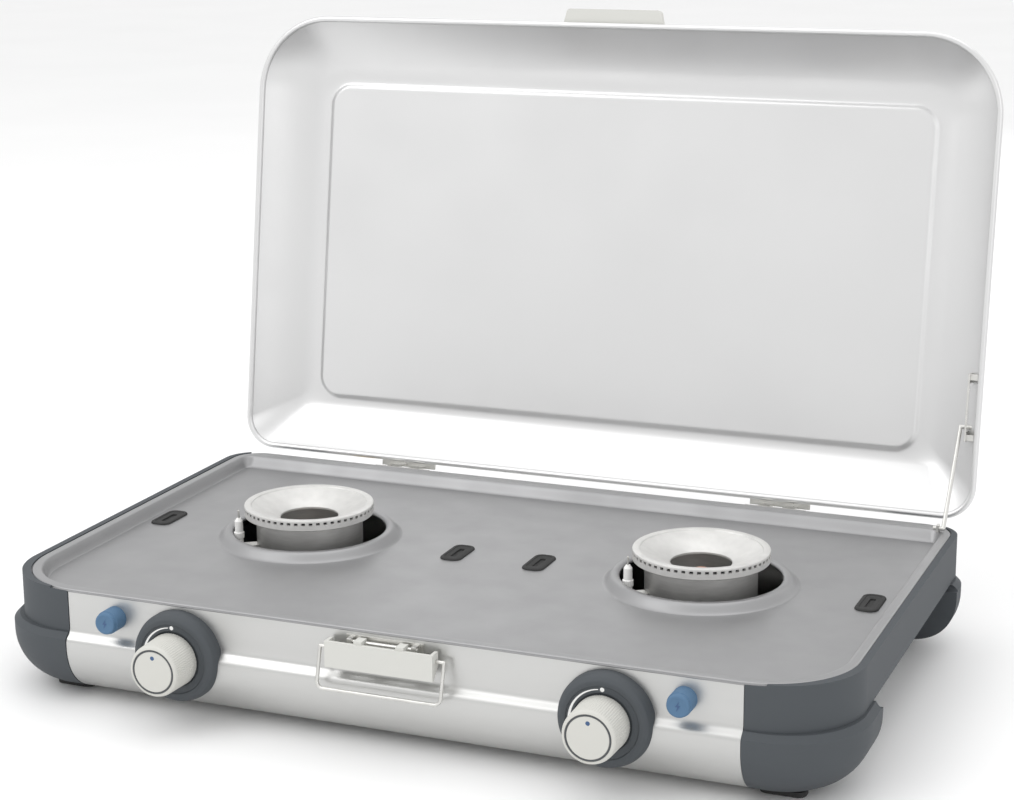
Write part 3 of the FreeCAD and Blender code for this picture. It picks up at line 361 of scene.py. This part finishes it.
def arc(cx, cy, radius, start, end, steps):
    """Points (a, b) on an arc about (cx, cy), angles in degrees."""
    angles = [math.radians(start + (end - start) * k / steps) for k in range(steps + 1)]
    return [(cx + radius * math.cos(a), cy + radius * math.sin(a)) for a in angles]


def softened(corners, radius, steps, closed=True):
    """A polyline of (a, b) corners with each corner rounded, apart from the ends of an open one."""
    out = []
    count = len(corners)
    for k in range(count):
        here = Vector(corners[k])
        if not closed and k in (0, count - 1):
            out.append(tuple(here))
            continue
        before = Vector(corners[k - 1]) - here
        after = Vector(corners[(k + 1) % count]) - here
        size = min(radius, before.length * 0.48, after.length * 0.48)
        start = here + before.normalized() * size
        end = here + after.normalized() * size
        for step in range(steps + 1):
            t = step / steps
            point = start * (1 - t) ** 2 + here * 2 * t * (1 - t) + end * t ** 2
            out.append(tuple(point))
    return out


def turned_mesh(name, profile, count, turn):
    """A solid of revolution about +Z from a closed or axis-to-axis profile of (radius, height)."""
    loops = [ring(0, 0, max(r, 1e-5), z, count) for r, z in profile]
    points, faces = bridge(loops)
    return mesh_of(name, points, faces, turn)


def tube_mesh(name, profile, count, turn):
    """A ring-shaped solid of revolution from a closed profile of (radius, height)."""
    loops = [ring(0, 0, r, z, count) for r, z in profile]
    points, faces = bridge(loops, cyclic=True)
    return mesh_of(name, points, faces, turn)


def facing_front(place):
    """The matrix that turns +Z to -Y (out of the front panel) and +Y to +Z, at a place."""
    return Matrix.Translation(place) @ Matrix.Rotation(math.pi / 2, 4, "X")


def middle(node):
    low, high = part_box(node)
    return (low + high) / 2


# ------------------------------------------------------------------ lid
HINGE = Vector(JOINTS["lid_hinge"]["pos_m"])
OPEN_ANGLE = math.radians(JOINTS["lid_hinge"]["range_deg"][1])


def about_hinge(angle):
    """Rotation about the lid's hinge axis."""
    return Matrix.Translation(HINGE) @ Matrix.Rotation(angle, 4, "X") @ Matrix.Translation(-HINGE)


TO_OPEN = about_hinge(-OPEN_ANGLE)
TO_SHUT = about_hinge(OPEN_ANGLE)


def shut_box(node):
    """The box of a lid piece with the lid shut."""
    points = [TO_SHUT @ vertex.co for vertex in NODES[node].data.vertices]
    low = Vector(min(p[k] for p in points) for k in range(3))
    high = Vector(max(p[k] for p in points) for k in range(3))
    return low, high


def make_lid():
    """Pressed lid: rolled edge, rounded walls and an embossed panel, modelled shut and then opened."""
    low, high = shut_box("lid_shell")
    bead = 1.7 * MM
    sheet = SHEET_SKIN
    front_round = 52 * MM
    back_round = 21 * MM
    dome = 27 * MM
    half = high.x - bead
    front = low.y + bead
    back = high.y - bead
    tall = high.z - low.z

    def wall_loop(inset, height):
        return rounded_loop(-half + inset, half - inset, front + inset, back - inset,
                            max(front_round - inset, 10 * MM), max(back_round - inset, 8 * MM),
                            low.z + height)

    def panel_loop(grow, height):
        radius = 15 * MM + grow
        return rounded_loop(-half + 45 * MM - grow, half - 45 * MM + grow, front + 46 * MM - grow,
                            back - 38 * MM + grow, radius, radius, low.z + height)

    step_half = 2.0 * MM
    step_high = 1.6 * MM

    def panel_step(level, steps=6):
        """Loops from the sunk middle of the panel out to the surface around it."""
        loops = [panel_loop(-step_half - 1 * MM, level - step_high)]
        for k in range(steps + 1):
            t = k / steps
            rise = t * t * (3 - 2 * t)
            loops.append(panel_loop(-step_half + 2 * step_half * t, level - step_high * (1 - rise)))
        loops.append(panel_loop(step_half + 1 * MM, level))
        return loops

    def dome_arc(inset, top, radius, steps=14):
        turns = [math.pi / 2 * k / steps for k in range(steps + 1)]
        return [wall_loop(inset + radius * (1 - math.sin(a)),
                          top - radius + radius * math.cos(a)) for a in turns]

    loops = panel_step(tall) + [wall_loop(dome + 1.5 * MM, tall)] + dome_arc(0, tall, dome)
    roll = 2.1 * MM
    roll_start, roll_end, roll_steps = 100, 420, 16
    for a, b in arc(0.4 * MM, roll, roll, roll_start, roll_end, roll_steps):
        loops.append(wall_loop(a, b))
    inner = dome_arc(sheet, tall - sheet, dome - sheet)
    inner.append(wall_loop(dome + 1.5 * MM, tall - sheet))
    loops += inner + panel_step(tall - sheet)[::-1]
    points, faces = bridge(loops)
    mesh = mesh_of("lid", points, faces, TO_OPEN, degrees=60)
    piece("lid", mesh, lid_paint(), "lid", ["lid_shell"])


# ------------------------------------------------------------------ hob
def make_hob():
    """Hob plate: rounded edge, flat rim, soft slope, recessed field and two raised burner rings."""
    low, high = HOB_LOW, HOB_HIGH
    top = high.z
    drop = FIELD_DROP
    band, back_band = 5.5 * MM, 10 * MM
    slope, back_slope = 4.5 * MM, 7 * MM
    front_round = 53 * MM
    back_round = 20 * MM

    def rim_loop(inset, back_inset, z):
        return rounded_loop(low.x + inset, high.x - inset, low.y + inset, high.y - back_inset,
                            front_round - inset, max(back_round - back_inset, 2.4 * MM), z)

    loops = [rim_loop(0, 0, top - 1 * MM)]
    edge_round = 1.2 * MM
    for a, b in arc(0, 0, edge_round, 0, 90, 4):
        loops.append(rim_loop(edge_round - a, edge_round - a, top - edge_round + b))
    loops.append(rim_loop(band - 1 * MM, back_band - 1 * MM, top))
    steps = 10
    for k in range(steps + 1):
        t = k / steps
        loops.append(rim_loop(band + slope * t, back_band + back_slope * t,
                              top - drop * t * t * (3 - 2 * t)))
    loops.append(rim_loop(band + slope + 0.5 * MM, back_band + back_slope + 0.5 * MM, top - drop))
    points, faces = bridge(loops, caps=False)
    field = top - drop
    edge = loops[-1]
    flat_points = [p.to_2d() for p in edge]
    flat_edges = [(k, (k + 1) % len(edge)) for k in range(len(edge))]
    holes = []

    def add_hole(loop):
        start = len(flat_points)
        flat_points.extend(p.to_2d() for p in loop)
        flat_edges.extend((start + k, start + (k + 1) % len(loop)) for k in range(len(loop)))

    count = 96
    for side in SIDES:
        centre = middle("burner_crown_" + side)
        rings = []
        for radius, height in ring_profile():
            rings.append(ring(centre.x, centre.y, radius, field + height, count))
        ring_points, ring_faces = bridge(rings, caps=False)
        shift = len(points)
        points += ring_points
        faces += [tuple(k + shift for k in face) for face in ring_faces]
        add_hole(rings[0])
        outer = ring_profile()[0][0]
        holes.append(lambda p, c=centre, r=outer: (p - c.to_2d()).length < r - 1e-5)
    for x, y in socket_places():
        half_x, half_y = 5 * MM, 13 * MM
        add_hole(rounded_loop(x - half_x, x + half_x, y - half_y, y + half_y, 3 * MM, 3 * MM, field, 3))
        holes.append(lambda p, x=x, y=y: abs(p.x - x) < half_x and abs(p.y - y) < half_y)
    flat, _, triangles, *_ = delaunay_2d_cdt(flat_points, flat_edges, [], 1, 1e-7)
    shift = len(points)
    points += [Vector((p.x, p.y, field)) for p in flat]
    for triangle in triangles:
        centre = sum((flat[k] for k in triangle), Vector((0, 0))) / len(triangle)
        if not any(inside(centre) for inside in holes):
            faces.append(tuple(k + shift for k in triangle))
    mesh = mesh_of("hob", points, faces, degrees=60)
    if mesh.polygons[-1].normal.z < 0:
        mesh.flip_normals()
    for polygon in mesh.polygons:
        if abs(polygon.center.z - field) < 1e-6:
            polygon.use_smooth = False
    hob = piece("hob", mesh, hob_paint(), "base", ["hob_plate"])
    sheet = hob.modifiers.new("sheet", "SOLIDIFY")
    sheet.thickness = 0.8 * MM
    sheet.offset = -1


def ring_profile():
    """The raised ring round a burner hole, as (radius, height above the field), from outside in."""
    steps = 10
    outer, crest, high = 60.5 * MM, 53.5 * MM, 5.6 * MM
    profile = [(outer + 1 * MM, 0)]
    for k in range(steps + 1):
        t = k / steps
        profile.append((outer + (crest - outer) * t, high * t * t * (3 - 2 * t)))
    profile += [(51.8 * MM, high + 0.05 * MM), (50.6 * MM, high - 0.2 * MM), (49.8 * MM, high - 0.9 * MM),
                (49.5 * MM, high - 2.2 * MM)]
    return profile


def socket_places():
    """The middle of each rubber socket, found from the shared CAD node."""
    low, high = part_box("support_sockets")
    y = (low.y + high.y) / 2
    half = (high.x - low.x) / 2 - 7.3 * MM
    inner = 27.8 * MM
    return [(x, y) for x in (-half, -inner, inner, half)]


def make_sockets():
    """Rubber sockets: a domed oval flange with a slot."""
    field = HOB_HIGH.z - FIELD_DROP
    for number, (x, y) in enumerate(socket_places()):
        def loop(wide, long, z, radius):
            return rounded_loop(x - wide / 2, x + wide / 2, y - long / 2, y + long / 2, radius, radius, z,
                                8)
        w, l = 14.4 * MM, 30.6 * MM
        loops = [loop(w, l, field - 0.5 * MM, 5.4 * MM), loop(w, l, field + 0.4 * MM, 5.4 * MM),
                 loop(w - 0.6 * MM, l - 0.6 * MM, field + 1.0 * MM, 5.1 * MM),
                 loop(w - 1.8 * MM, l - 1.8 * MM, field + 1.3 * MM, 4.6 * MM),
                 loop(w - 4.4 * MM, l - 4.6 * MM, field + 1.3 * MM, 3.4 * MM),
                 loop(w - 5.2 * MM, l - 5.6 * MM, field + 0.8 * MM, 3.0 * MM),
                 loop(4.6 * MM, 17 * MM, field + 0.7 * MM, 1.2 * MM),
                 loop(3.6 * MM, 16 * MM, field + 0.5 * MM, 1.0 * MM),
                 loop(3.4 * MM, 15.6 * MM, field - 3 * MM, 0.9 * MM)]
        points, faces = bridge(loops)
        piece("socket_%d" % (number + 1), mesh_of("socket", points, faces), rubber(), "base",
              ["support_sockets"])


# ------------------------------------------------------------------ panels
def make_panel(name, node, sign):
    """A bent sheet panel: top edge, one step outwards and the large curve under the stove, all softly bent."""
    low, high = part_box(node)
    face = high.y if sign > 0 else -low.y
    wall = face - PANEL_STEP_OUT
    curve = PANEL_CURVE
    turn_z = low.z + curve

    def bent(inset):
        path = [(wall - inset - 1.0 * MM, high.z + 0.6 * MM - inset), (wall - inset, high.z - inset),
                (wall - inset, 45.3 * MM), (face - inset, 41.2 * MM), (face - inset, turn_z)]
        soft = softened(path, 2.4 * MM, 5, closed=False)
        soft += arc(face - curve, turn_z, curve - inset, 0, -90, 24)[1:]
        soft.append((face - curve - FLANGE, low.z + inset))
        return soft

    outline = bent(0) + bent(SHEET_SKIN)[::-1]
    loops = [[Vector((x, sign * a, b)) for a, b in outline] for x in (low.x, high.x)]
    points, faces = bridge(loops)
    piece(name, mesh_of(name, points, faces, degrees=50), panel_paint(), "base", [node])


# ------------------------------------------------------------------ burners
def make_burner(side):
    """Crown with a ring of flame slots."""
    low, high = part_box("burner_crown_" + side)
    centre = (low + high) / 2
    radius = high.x - centre.x
    top = high.z
    slots = 56
    per_slot = 6
    count = slots * per_slot
    band = 7 * MM
    slot_top = top - 1.5 * MM
    slot_low = slot_top - 1.6 * MM
    outer = [(radius - 4.4 * MM, top - 0.1 * MM), (radius - 4.1 * MM, top), (radius - 0.7 * MM, top),
             (radius - 0.2 * MM, top - 0.2 * MM), (radius, top - 0.7 * MM), (radius, slot_top),
             (radius, slot_low), (radius, top - band + 0.5 * MM), (radius - 0.5 * MM, top - band),
             (radius - 7.4 * MM, top - band), (radius - 7.6 * MM, top - band - 3 * MM),
             (radius - 10 * MM, top - band - 3 * MM), (radius - 10 * MM, top - 7 * MM),
             (19.4 * MM, top - 10.5 * MM), (18.9 * MM, top - 10 * MM), (18.9 * MM, top - 8.9 * MM),
             (19.6 * MM, top - 8.3 * MM), (radius - 5.2 * MM, top - 0.9 * MM), (radius - 4.8 * MM,
                                                                                top - 0.8 * MM)]
    loops = [ring(centre.x, centre.y, r, z, count) for r, z in outer]
    points, faces = bridge(loops, cyclic=True)
    slot_row = 5
    depth = 1.6 * MM
    kept = []
    for index, face in enumerate(faces):
        row, k = divmod(index, count)
        if row != slot_row or k % per_slot not in (1, 2, 3):
            kept.append(face)
    for slot in range(slots):
        first = slot_row * count + slot * per_slot + 1
        upper = [first + k for k in range(4)]
        lower = [k + count for k in upper]
        back = []
        for row in (upper, lower):
            inward = []
            for k in row:
                flat = points[k] - Vector((centre.x, centre.y, points[k].z))
                inward.append(len(points))
                points.append(points[k] - flat.normalized() * depth)
            back.append(inward)
        for k in range(3):
            kept.append((back[0][k], back[0][k + 1], back[1][k + 1], back[1][k]))
            kept.append((upper[k], upper[k + 1], back[0][k + 1], back[0][k]))
            kept.append((lower[k + 1], lower[k], back[1][k], back[1][k + 1]))
        kept.append((upper[0], back[0][0], back[1][0], lower[0]))
        kept.append((back[0][3], upper[3], lower[3], back[1][3]))
    mesh = mesh_of("crown_" + side, points, kept, degrees=30)
    mesh.materials.append(cast_aluminium())
    # Second material: painted shade, near-black on the back faces of the shallow flame slots
    mesh.materials.append(black_piezo_and_slot_shade())
    reach = radius - depth * 0.6
    for polygon in mesh.polygons:
        spot = polygon.center - Vector((centre.x, centre.y, polygon.center.z))
        in_slot = slot_low - 1e-5 < polygon.center.z < slot_top + 1e-5
        if in_slot and radius - depth - 1e-4 < spot.length < reach:
            polygon.material_index = 1
    piece("crown_" + side, mesh, cast_aluminium(), "base", ["burner_crown_" + side])


# ------------------------------------------------------------------ controls
def make_knob(side):
    """Fluted knob with a soft rim, a ring groove on its face and a blue dot."""
    low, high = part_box("knob_" + side)
    body = "knob_turn_" + side
    place = Vector(((low.x + high.x) / 2, high.y, (low.z + high.z) / 2))
    turn = facing_front(place)
    back = (high.x - low.x) / 2
    long = high.y - low.y - 0.06 * MM
    face = back - 0.7 * MM
    mark = face - 2.8 * MM
    flutes = 72
    count = flutes * 6
    flute_deep = 0.32 * MM
    hub = 1 * MM
    groove_half = 0.5 * MM
    # each point is (radius, height, share of the flute's depth)
    profile = [
        (hub, 0, 0), (back - 0.4 * MM, 0, 0), (back, 0.4 * MM, 1), (back - 0.3 * MM, long * 0.3, 1),
        (face + 0.1 * MM, long - 2.6 * MM, 1), (face - 0.1 * MM, long - 1.8 * MM, 0.5),
        (face - 0.5 * MM, long - 0.9 * MM, 0), (face - 1.1 * MM, long - 0.3 * MM, 0),
        (face - 2.0 * MM, long - 0.05 * MM, 0), (mark + 0.75 * MM, long, 0),
        (mark + groove_half, long - 0.5 * MM, 0), (mark - groove_half, long - 0.5 * MM, 0),
        (mark - 0.75 * MM, long - 0.05 * MM, 0), (mark - 1.2 * MM, long, 0), (hub, long, 0),
    ]
    loops = []
    for radius, height, deep in profile:
        loop = []
        for k in range(count):
            angle = 2 * math.pi * k / count
            wave = 0.5 - 0.5 * math.cos(flutes * angle)
            reach = radius - flute_deep * deep * wave
            loop.append(Vector((reach * math.cos(angle), reach * math.sin(angle), height)))
        loops.append(loop)
    points, faces = bridge(loops)
    piece("knob_cap_" + side, mesh_of("knob_cap_" + side, points, faces, turn, degrees=50), knob_plastic(),
          body, ["knob_" + side])
    # A near-black ring laid in the bottom of the face groove: painted shade in the groove
    ring_low, ring_high = long - 0.6 * MM, long - 0.2 * MM
    ring_corners = [(mark + groove_half, ring_low), (mark - groove_half, ring_low),
                           (mark - groove_half, ring_high), (mark + groove_half, ring_high)]
    groove = tube_mesh("knob_groove_" + side, ring_corners, 96, turn)
    piece("knob_groove_shade_" + side, groove, painted_groove_shade(), body)
    dot = [(0.0, -0.2 * MM), (1.4 * MM, -0.2 * MM), (1.4 * MM, -0.03 * MM), (1.2 * MM, 0.03 * MM),
           (0.0, 0.05 * MM)]
    dot_out = 8.4 * MM
    dot_turn = turn @ Matrix.Translation((0, dot_out, long))
    piece("knob_dot_" + side, turned_mesh("knob_dot_" + side, dot, 32, dot_turn), mark_blue(), body)


def make_bezel(side):
    """Round collar behind the knob, with a sunken track and a printed arc."""
    low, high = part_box("bezel_" + side)
    centre = (low + high) / 2
    deep = 17.5 * MM
    base = low.y + deep
    turn = facing_front(Vector((centre.x, base, centre.z)))
    r = (high.x - low.x) / 2
    bore = 8 * MM
    corners = [(bore, 0), (r, 0), (r, 12 * MM), (r - 1.2 * MM, 15.6 * MM), (r - 3.4 * MM, deep),
               (21.3 * MM, deep), (20.9 * MM, 16.7 * MM), (17.0 * MM, 16.6 * MM), (16.6 * MM, 15.6 * MM),
               (bore, 15.6 * MM)]
    profile = softened(corners, 0.8 * MM, 4)
    piece("collar_" + side, tube_mesh("collar_" + side, profile, 128, turn), bezel_plastic(), "base",
          ["bezel_" + side])
    level = 16.62 * MM
    track = 19.2 * MM
    start_angle, sweep = 97, 84
    steps = 40
    inner, outer = [], []
    for k in range(steps + 1):
        t = k / steps
        angle = math.radians(start_angle + sweep * t)
        half = (0.28 + 0.5 * t) * MM
        for rail, radius in ((inner, track - half), (outer, track + half)):
            rail.append(Vector((radius * math.cos(angle), radius * math.sin(angle), 0)))
    strip(turn, "dial_arc_" + side, inner, outer, level)
    dot = [(0.0, -0.2 * MM), (1.25 * MM, -0.2 * MM), (1.25 * MM, 0.08 * MM), (1.0 * MM, 0.14 * MM),
           (0.0, 0.14 * MM)]
    dot_turn = turn @ Matrix.Translation((0, track, level))
    piece("dial_dot_" + side, turned_mesh("dial_dot_" + side, dot, 32, dot_turn), mark_white(), "base")


def strip(turn, name, inner, outer, level):
    """A thin printed strip between two rails of points, standing just proud of a face."""
    loops = []
    for a, b in zip(inner, outer):
        low, high = level - 0.1 * MM, level + PRINT_PROUD
        loops.append([Vector((a.x, a.y, low)), Vector((b.x, b.y, low)), Vector((b.x, b.y, high)),
                      Vector((a.x, a.y, high))])
    points, faces = bridge(loops)
    piece(name, mesh_of(name, points, faces, turn), mark_white(), "base")


def make_button(side):
    """Blue igniter button with a soft face and a small dark spark mark."""
    low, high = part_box("igniter_button_" + side)
    centre = (low + high) / 2
    r = (high.x - low.x) / 2
    long = high.y - low.y
    turn = facing_front(Vector((centre.x, high.y, centre.z)))
    body = "button_push_" + side
    stem, stem_long = 3.9 * MM, 20 * MM
    profile = [(0.0, 0), (stem, 0), (stem, stem_long), (r, stem_long)]
    profile += [(r, long - 3.2 * MM), (r - 0.5 * MM, long - 2.9 * MM), (r - 0.55 * MM, long - 0.9 * MM)]
    profile += [(r - 0.8 * MM, long - 0.4 * MM), (r - 1.3 * MM, long - 0.05 * MM), (r - 2 * MM, long)]
    profile += [(r - 2.3 * MM, long - 0.15 * MM), (0.0, long - 0.3 * MM)]
    piece("button_" + side, turned_mesh("button_" + side, profile, 64, turn), button_plastic(), body,
          ["igniter_button_" + side])
    bolt = [(0.9, 3.0), (-1.5, -0.3), (-0.1, -0.3), (-0.8, -3.0), (1.6, 0.5), (0.2, 0.5)]
    loops = [[Vector((a * MM, b * MM, long - z * MM)) for a, b in bolt] for z in (0.4, 0.12)]
    points, faces = bridge(loops)
    piece("spark_mark_" + side, mesh_of("spark_mark_" + side, points, faces, turn), mark_blue(), body)


# ------------------------------------------------------------------ CAD pieces with their own finish
def dress_cad_nodes():
    """Give every CAD node that still shows its procedural finish."""
    finishes = {
        "casing_": casing_plastic, "rubber_feet": rubber, "bottom_tray": tray_steel,
        "burner_head": turned_aluminium, "burner_bridge": zinc_plate, "burner_screw": copper_tone,
        "electrode_bracket": zinc_plate, "electrode_": ceramic, "spark_pin": zinc_plate,
        "gas_rail": zinc_plate, "gas_inlet": brass, "gas_valve": brass,
        "valve_spindle": brass, "injector": brass,
        "piezo_unit": black_piezo_and_slot_shade, "hinge_": zinc_plate, "latch_bracket": zinc_plate,
        "latch_pin": zinc_plate, "latch_plate": latch_plastic, "bail_wire": zinc_plate, "stay_": zinc_plate,
        "keeper_tab": latch_plastic,
    }
    for name, node in NODES.items():
        if node.hide_render:
            continue
        for start, make in finishes.items():
            if name.startswith(start):
                node.data.materials.clear()
                node.data.materials.append(make())
                break
        else:
            raise RuntimeError("no finish for the CAD node " + name)


make_camera()
make_stage()
make_lid()
make_hob()
make_sockets()
make_panel("front_sheet", "front_panel", -1)
make_panel("rear_sheet", "rear_panel", 1)
for hand in SIDES:
    make_burner(hand)
    make_knob(hand)
    make_bezel(hand)
    make_button(hand)
dress_cad_nodes()
